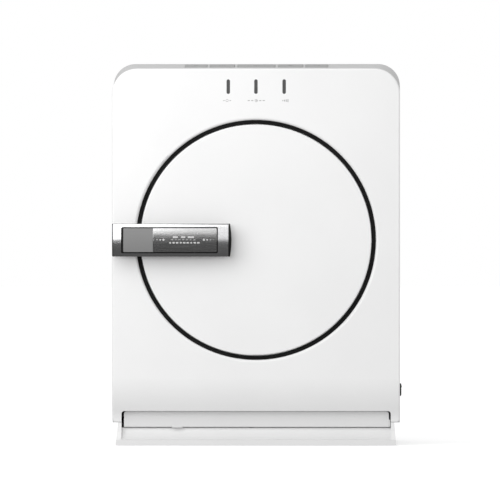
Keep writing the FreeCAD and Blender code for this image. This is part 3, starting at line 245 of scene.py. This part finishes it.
def circuit_board(name, color):
    """Solder mask with darker fields and brighter tracks between them."""
    dark_fields, bright_tracks = (0.8, 0.85, 0.8), (2.2, 1.5, 1.8)
    look = Look(name, color, 0.45)
    tracks = look.node("ShaderNodeTexBrick")
    tracks.inputs["Scale"].default_value = 60.0
    tracks.inputs["Mortar Size"].default_value = 0.04
    tracks.inputs["Color1"].default_value = (*color, 1.0)
    for socket, factors in (("Color2", dark_fields), ("Mortar", bright_tracks)):
        tracks.inputs[socket].default_value = (*[c * factor for c, factor in zip(color, factors)], 1.0)
    look.link(look.coords, tracks.inputs["Vector"])
    look.link(tracks.outputs["Color"], look.bsdf.inputs["Base Color"])
    look.bump(tracks.outputs["Fac"], distance=0.0001)
    return look


def cast_metal(name, color, rough):
    """Bare cast metal with a rough skin."""
    look = Look(name, color, rough, metallic=1.0)
    skin = look.noise(scale=260.0, detail=5.0)
    look.tint(skin, low=0.85, high=1.1)
    look.roughen(skin, low=rough - 0.08, high=rough + 0.1)
    look.bump(skin, distance=0.0001)
    return look


finishes = (
    moulded("white_moulding", grey(0.80), 0.32),
    # drawer_white is a darker copy of the case's white: painted shade for the recess the drawer sits
    # in.
    moulded("drawer_white", grey(0.68), 0.40),
    moulded("deck_grey", grey(0.53), 0.48),
    moulded("key_grey", grey(0.33), 0.50),
    powder_coat("white_sheet", grey(0.78)),
    zinc_sheet("zinc_sheet", (0.62, 0.63, 0.64)),
    rubber("black_rubber", grey(0.006), Specular_IOR_Level=0.15),
    felt("grey_felt", grey(0.25)),
    chrome("chrome_trim"),
    brushed("brushed_plate", grey(0.66), 0.22, along=X),
    moulded("release_grey", grey(0.20), 0.55),
    moulded("black_cap", grey(0.006), 0.40, Specular_IOR_Level=0.2),
    moulded("smoked_lens", grey(0.06), 0.25),
    moulded("inner_plastic", (0.50, 0.51, 0.52), 0.55),
    brushed("drum_steel", grey(0.66), 0.30, along=Y),
    brushed("machined_steel", grey(0.58), 0.30, along=Z),
    cast_metal("motor_metal", (0.46, 0.46, 0.47), 0.45),
    cast_metal("heater_metal", (0.55, 0.50, 0.44), 0.35),
    moulded("roller_plastic", (0.72, 0.70, 0.64), 0.40),
    moulded("magnet_plastic", grey(0.03), 0.5),
    circuit_board("board_green", (0.03, 0.16, 0.07)),
    rubber("loom_black", grey(0.02)),
)
looks = {look.name: look for look in finishes}
looks["brushed_plate"].lean(0.105)

# Two nodes have a finish of their own: painted shade darkens the handle's top and left edges, and the
# plinth is a darker white than the case, as painted shade.
handle_look_edge_shade = chrome("handle_chrome")
handle_low, handle_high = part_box("handle_bar")
handle_look_edge_shade.paint_edge_shade("Z", handle_high.z, width=-1.9 * MM, shade=0.20)
handle_look_edge_shade.paint_edge_shade("X", handle_low.x, width=2.1 * MM, shade=0.05)
# The plinth's darker white is painted shade.
own_looks = {"handle_bar": handle_look_edge_shade, "plinth_front": moulded("plinth_white_painted_shade", grey(0.73), 0.38)}
for name, node in nodes.items():
    look = own_looks.get(name) or looks[slot_of[name]]
    node.data.materials.clear()
    node.data.materials.append(look.mat)


# ---- pieces with detail ----------------------------------------------------------------------------
def new_piece(name, mesh, body, slot):
    """Puts a finished mesh in the scene, riding on a body, with a slot's finish."""
    mesh.materials.append(looks[slot].mat)
    made = bpy.data.objects.new(name, mesh)
    bpy.context.scene.collection.objects.link(made)
    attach(made, body)
    return made


def bridge(bm, a, b):
    """Band of faces between two closed loops with the same number of vertices."""
    for i in range(len(a)):
        j = (i + 1) % len(a)
        bm.faces.new((a[i], a[j], b[j], b[i]))


def finished_mesh(name, bm):
    """Mesh from a closed bmesh, with its faces pointing outwards."""
    bmesh.ops.recalc_face_normals(bm, faces=bm.faces)
    mesh = bpy.data.meshes.new(name)
    bm.to_mesh(mesh)
    bm.free()
    return mesh


def solid_mesh(name, outlines):
    """Mesh from outlines with as many points each, bridged in turn, and the last to the first."""
    bm = bmesh.new()
    loops = [[bm.verts.new(point) for point in outline] for outline in outlines]
    for a, b in zip(loops, loops[1:] + loops[:1]):
        bridge(bm, a, b)
    return finished_mesh(name, bm)


def rounded_outline(u0, u1, v0, v1, radius, steps=6):
    """Corner-rounded rectangle as (u, v) points, counterclockwise."""
    points = []
    corners = (
        (u1 - radius, v1 - radius, 0.0),
        (u0 + radius, v1 - radius, 90.0),
        (u0 + radius, v0 + radius, 180.0),
        (u1 - radius, v0 + radius, 270.0),
    )
    for u, v, start in corners:
        for step in range(steps + 1):
            angle = math.radians(start + 90.0 * step / steps)
            points.append((u + radius * math.cos(angle), v + radius * math.sin(angle)))
    return points


def circle_angles(count):
    return [2.0 * math.pi * i / count for i in range(count)]


def bar(u, v, width, height):
    """Print mark: a bar with rounded ends about a middle point."""
    roundness = 0.45 * min(width, height)
    sides = (u - width / 2, u + width / 2, v - height / 2, v + height / 2)
    return [rounded_outline(*sides, roundness, steps=3)]


def dot(u, v, radius):
    """Print mark: a filled circle."""
    return [[(u + radius * math.cos(a), v + radius * math.sin(a)) for a in circle_angles(16)]]


def ring(u, v, radius, line):
    """Print mark: a circle drawn with a line of a given width."""
    return dot(u, v, radius) + dot(u, v, radius - line)


def printed(name, node, body, slot, marks, origin, across=RIGHT, up=UP, proud=0.06 * MM):
    """Thin raised marks on a node's surface: each is one outline in millimetres, or two for a ring."""
    reach = 10.0 * MM
    sunk = 0.1 * MM
    across, up = Vector(across).normalized(), Vector(up).normalized()
    outward = across.cross(up)
    surface = nodes[node]
    bm = bmesh.new()

    def on_surface(point):
        start = origin + across * (point[0] * MM) + up * (point[1] * MM) + outward * reach
        hit, place, _normal, _face = surface.ray_cast(start, -outward)
        return place if hit else start - outward * reach

    for outlines in marks:
        tops, feet = [], []
        for outline in outlines:
            spots = [on_surface(point) for point in outline]
            tops.append([bm.verts.new(spot + outward * proud) for spot in spots])
            feet.append([bm.verts.new(spot - outward * sunk) for spot in spots])
        if len(outlines) == 1:
            bm.faces.new(tops[0])
            bm.faces.new(list(reversed(feet[0])))
        for top, foot in zip(tops, feet):
            bridge(bm, top, foot)
        if len(outlines) == 2:
            bridge(bm, tops[0], tops[1])
            bridge(bm, feet[0], feet[1])
    return new_piece(name, finished_mesh(name, bm), body, slot)


def middle(corners):
    return (corners[0] + corners[1]) / 2.0


def handle_gap_shade():
    """Black strip in the gap round the release button and the plate, bowed as the handle is: painted
    shade for the dark of the gap.
    """
    bar_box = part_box("handle_bar")
    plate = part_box("handle_nameplate")
    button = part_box("release_button")
    bow = 4.0 * MM
    clear = 0.12 * MM
    wide, fine = 4.0 * MM, 2.2 * MM
    outer_corner, inner_corner = 2.6 * MM, 1.6 * MM
    front, back = 1.1 * MM, 2.4 * MM

    half = (bar_box[1].z - bar_box[0].z) / 2.0
    radius = (half * half + bow * bow) / (2.0 * bow)
    centre_y = bar_box[0].y + radius
    mid_z = middle(bar_box).z
    plate_half = (plate[1].z - plate[0].z) / 2.0
    left, right = button[0].x, plate[1].x
    reach = plate_half + fine
    outer = rounded_outline(left - wide, right + fine, -reach, reach, outer_corner)
    reach = plate_half + clear
    inner = rounded_outline(left - clear, right + clear, -reach, reach, inner_corner)

    def bowed(outline, depth):
        r = radius - depth
        return [(x, centre_y - math.sqrt(r * r - z * z), mid_z + z) for x, z in outline]

    outlines = [bowed(outer, front), bowed(inner, front), bowed(inner, back), bowed(outer, back)]
    new_piece("handle_gap_shade", solid_mesh("handle_gap_shade", outlines), "door", "black_cap")


def plate_marks():
    """Generic dashes and dots on the plate, as three rows about a middle line."""
    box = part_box("handle_nameplate")
    origin = Vector((middle(box).x, box[0].y, middle(box).z))
    top_v, middle_v, low_v = 5.2, 0.6, -4.6
    marks = [bar(u, top_v, width, 3.0) for u, width in ((-16.5, 9.0), (-3.0, 7.0), (10.5, 11.5))]
    low_start, low_pitch = -25.5, 6.1
    for step in range(9):
        marks.append(bar(low_start + low_pitch * step, low_v, 4.6 if step % 3 else 3.4, 2.6))
    middle_start, middle_pitch = -22.0, 6.4
    for step in range(7):
        marks.append(bar(middle_start + middle_pitch * step, middle_v, 3.0 if step % 2 else 4.2, 0.9))
    dots_u, first_dot, dot_pitch = -2.0, 35.0, 5.6
    for side in (-1, 1):
        for step, radius in enumerate((1.9, 1.4, 0.9, 0.6)):
            marks.append(dot(dots_u + side * (first_dot + dot_pitch * step), middle_v, radius))
    printed("plate_marks", "handle_nameplate", "door", "deck_grey", marks, origin)


def panel_marks():
    """Generic signs under the three indicator slots."""
    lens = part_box("indicator_lenses")
    below = 9.6 * MM
    half_lens = 2.9
    origin = Vector((middle(lens).x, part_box("front_panel")[0].y, lens[0].z - below))
    left = -(lens[1].x - lens[0].x) / 2.0 / MM + half_lens
    marks = [ring(left, 0.0, 2.4, 0.7), bar(left - 5.5, 0.0, 2.6, 1.2), bar(left + 5.5, 0.0, 2.6, 1.2)]
    marks += [bar(u, 0.0, 4.0, 1.3) for u in (-13.0, -7.0, 7.0, 13.0)]
    marks += [ring(0.0, 0.0, 2.6, 0.8), dot(0.0, 0.0, 0.9)]
    right = -left
    for number, height in enumerate((2.0, 3.2, 4.4, 5.4)):
        marks.append(bar(right - 4.5 + 3.0 * number, 0.0, 1.5, height))
    printed("panel_marks", "front_panel", "cabinet", "key_grey", marks, origin)


def key_marks():
    """One generic sign in the middle of each key, upright on the slope of the deck."""
    joints = frame["record"]["behaviour"]["joints"]
    press = [joint["axis"] for joint in joints if joint["name"] == "key_1_press"][0]
    up_slope = (0.0, -press[2], press[1])
    on_off = [ring(0.0, 0.0, 4.0, 0.9), bar(0.0, 3.4, 1.0, 3.6)]
    three_bars = [bar(u, 0.0, 2.0, 7.0) for u in (-4.0, 0.0, 4.0)]
    target = [ring(0.0, 0.0, 5.0, 1.0), dot(0.0, 0.0, 1.6)]
    target += [dot(u, 0.0, 0.9) for u in (-14, -10, 10, 14)]
    steps = [bar(0.0, v, width, 1.4) for v, width in ((-3.5, 5.0), (0.0, 8.0), (3.5, 11.0))]
    six_dots = [dot(u, v, 1.1) for u in (-3.5, 0.0, 3.5) for v in (-2.2, 2.2)]
    for number, marks in enumerate((on_off, three_bars, target, steps, six_dots), start=1):
        name = "key_%d" % number
        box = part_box(name)
        origin = Vector((middle(box).x, middle(box).y, box[1].z))
        printed("key_marks_%d" % number, name, name, "smoked_lens", marks, origin, up=up_slope)


def screw_recess_shade():
    """Black cross marks on each screw head at the back, in two columns: painted shade of the cross
    recesses.
    """
    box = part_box("panel_screws")
    head_radius = 4.0 * MM
    rows = 4
    arm, line = 4.4, 1.0
    low, high = box[0].z + head_radius, box[1].z - head_radius
    marks = []
    for x in (box[0].x + head_radius, box[1].x - head_radius):
        for row in range(rows):
            u, v = -x / MM, (low + (high - low) * row / (rows - 1)) / MM
            marks += [bar(u, v, arm, line), bar(u, v, line, arm)]
    origin = Vector((0.0, box[1].y, 0.0))
    left = (-1, 0, 0)
    proud = 0.03 * MM
    printed("screw_recess_shade", "panel_screws", "cabinet", "black_cap", marks, origin, left, proud=proud)


def liner_beads():
    """Moulded ring beads on the door's inner face: half ellipses turned round the drum's axis."""
    back_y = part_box("door_liner")[1].y
    centre = middle(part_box("drum_shell"))
    angles = circle_angles(96)
    arc_steps = 8
    root = 0.4
    beads = (
        # radius, width and height, in millimetres
        (118.0, 5.0, 1.6),
        (92.0, 4.0, 1.3),
        (30.0, 5.0, 1.6),
    )
    for number, (radius, width, height) in enumerate(beads, start=1):
        name = "liner_bead_%d" % number
        section = []
        for step in range(arc_steps + 1):
            t = math.pi * step / arc_steps
            section.append((radius + width / 2 * math.cos(t), height * math.sin(t)))
        section += [(radius - width / 2, -root), (radius + width / 2, -root)]
        outlines = []
        for r, h in section:
            r, y = r * MM, back_y + h * MM
            turn = [(centre.x + r * math.cos(a), y, centre.z + r * math.sin(a)) for a in angles]
            outlines.append(turn)
        mesh = solid_mesh(name, outlines)
        for face in mesh.polygons:
            face.use_smooth = True
        new_piece(name, mesh, "door", slot_of["door_liner"])


handle_gap_shade()
plate_marks()
panel_marks()
key_marks()
screw_recess_shade()
liner_beads()


# ---- stage -----------------------------------------------------------------------------------------
def rectangle(name, corners, look):
    """Flat stage surface through its corners."""
    mesh = bpy.data.meshes.new(name)
    mesh.from_pydata(corners, [], [tuple(range(len(corners)))])
    mesh.materials.append(look.mat)
    made = bpy.data.objects.new(name, mesh)
    bpy.context.scene.collection.objects.link(made)
    return made


def stage_look(name, level, glow):
    """Matt grey that also shines white by itself, at the strength given as glow."""
    look = Look(name, grey(level), 0.9)
    look.bsdf.inputs["Emission Color"].default_value = (1.0, 1.0, 1.0, 1.0)
    look.bsdf.inputs["Emission Strength"].default_value = glow
    return look


def floor():
    """Pale floor; it sends no light back up, because the world below the horizon stands for it."""
    reach = 60.0
    low = cad_box[0].z
    look = stage_look("floor_pale", 0.93, glow=0.30)
    look.tint(look.noise(scale=3.0), low=0.997, high=1.003)
    corners = [(-reach, -reach, low), (reach, -reach, low), (reach, reach, low), (-reach, reach, low)]
    made = rectangle("floor", corners, look)
    made.visible_diffuse = False
    made.visible_glossy = False


def dark_cards():
    """Dark cards low in front and at the left, seen only in reflections, as in a product studio."""
    look = stage_look("card_dark", 0.03, glow=0.06)
    look.tint(look.noise(scale=4.0, detail=2.0), low=0.8, high=1.2)
    deep = -12.0
    front_y, half_width, front_top = -3.0, 3.0, middle(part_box("handle_bar")).z
    side_x, side_near, side_far, side_top = -3.0, -2.0, 3.0, 3.0
    front = [
        (-half_width, front_y, deep),
        (half_width, front_y, deep),
        (half_width, front_y, front_top),
        (-half_width, front_y, front_top),
    ]
    side = [
        (side_x, side_near, deep),
        (side_x, side_far, deep),
        (side_x, side_far, side_top),
        (side_x, side_near, side_top),
    ]
    for name, corners in (("card_front", front), ("card_side", side)):
        made = rectangle(name, corners, look)
        made.visible_camera = False
        made.visible_diffuse = False
        made.visible_shadow = False
        made.visible_transmission = False


def aimed(name, data, place, target):
    """Puts a light or a camera in the scene, pointing at a target."""
    made = bpy.data.objects.new(name, data)
    made.location = place
    made.rotation_mode = "QUATERNION"
    made.rotation_quaternion = (Vector(target) - Vector(place)).to_track_quat("-Z", "Y")
    bpy.context.scene.collection.objects.link(made)
    return made


def square_light(name, place, target, side, watts):
    data = bpy.data.lights.new(name, "AREA")
    data.shape = "RECTANGLE"
    data.size = data.size_y = side
    data.energy = watts
    return aimed(name, data, place, target)


def lights():
    """A key light near the top left, and a far fill in front that shows in no reflection."""
    square_light("key_light", (-0.62, -1.15, 0.92), (0.0, -0.2, 0.45), side=1.1, watts=7.8)
    fill = square_light("fill_light", (-2.0, -16.0, 1.2), (0.0, -0.2, 0.35), side=4.0, watts=520.0)
    fill.visible_glossy = False
    fill.visible_camera = False


def soft_world(above, below):
    """Soft light from all round, weaker below the horizon; the camera sees it as plain white."""
    fade_low, fade_high = -0.10, -0.005
    shown_white = 1.0
    world = bpy.data.worlds.new("soft_white")
    world.use_nodes = True
    tree = world.node_tree
    background = tree.nodes["Background"]
    background.inputs["Color"].default_value = (1.0, 1.0, 1.0, 1.0)
    coords = tree.nodes.new("ShaderNodeTexCoord")
    split = tree.nodes.new("ShaderNodeSeparateXYZ")
    fade = tree.nodes.new("ShaderNodeMapRange")
    fade.inputs["From Min"].default_value = fade_low
    fade.inputs["From Max"].default_value = fade_high
    fade.inputs["To Min"].default_value = below
    fade.inputs["To Max"].default_value = above
    tree.links.new(coords.outputs["Generated"], split.inputs["Vector"])
    tree.links.new(split.outputs["Z"], fade.inputs["Value"])
    shown = tree.nodes.new("ShaderNodeLightPath")
    light = tree.nodes.new("ShaderNodeMapRange")
    light.inputs["To Max"].default_value = shown_white
    tree.links.new(shown.outputs["Is Camera Ray"], light.inputs["Value"])
    tree.links.new(fade.outputs["Result"], light.inputs["To Min"])
    tree.links.new(light.outputs["Result"], background.inputs["Strength"])
    bpy.context.scene.world = world


def camera():
    """Long lens, square to the front: the object stands a little right of and below the middle."""
    view_size = 0.8715
    distance = 14.0
    turn = math.radians(0.9)
    aim = Vector((-0.0103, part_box("front_panel")[0].y, 0.3381))
    data = bpy.data.cameras.new("camera")
    data.sensor_width = 36.0
    data.lens = data.sensor_width * distance / view_size
    data.clip_end = 200.0
    place = aim + Vector((math.sin(turn) * distance, -math.cos(turn) * distance, 0.0))
    bpy.context.scene.camera = aimed("camera", data, place, aim)


floor()
dark_cards()
soft_world(above=0.82, below=0.52)
lights()
camera()
bpy.context.scene.view_settings.view_transform = "Standard"
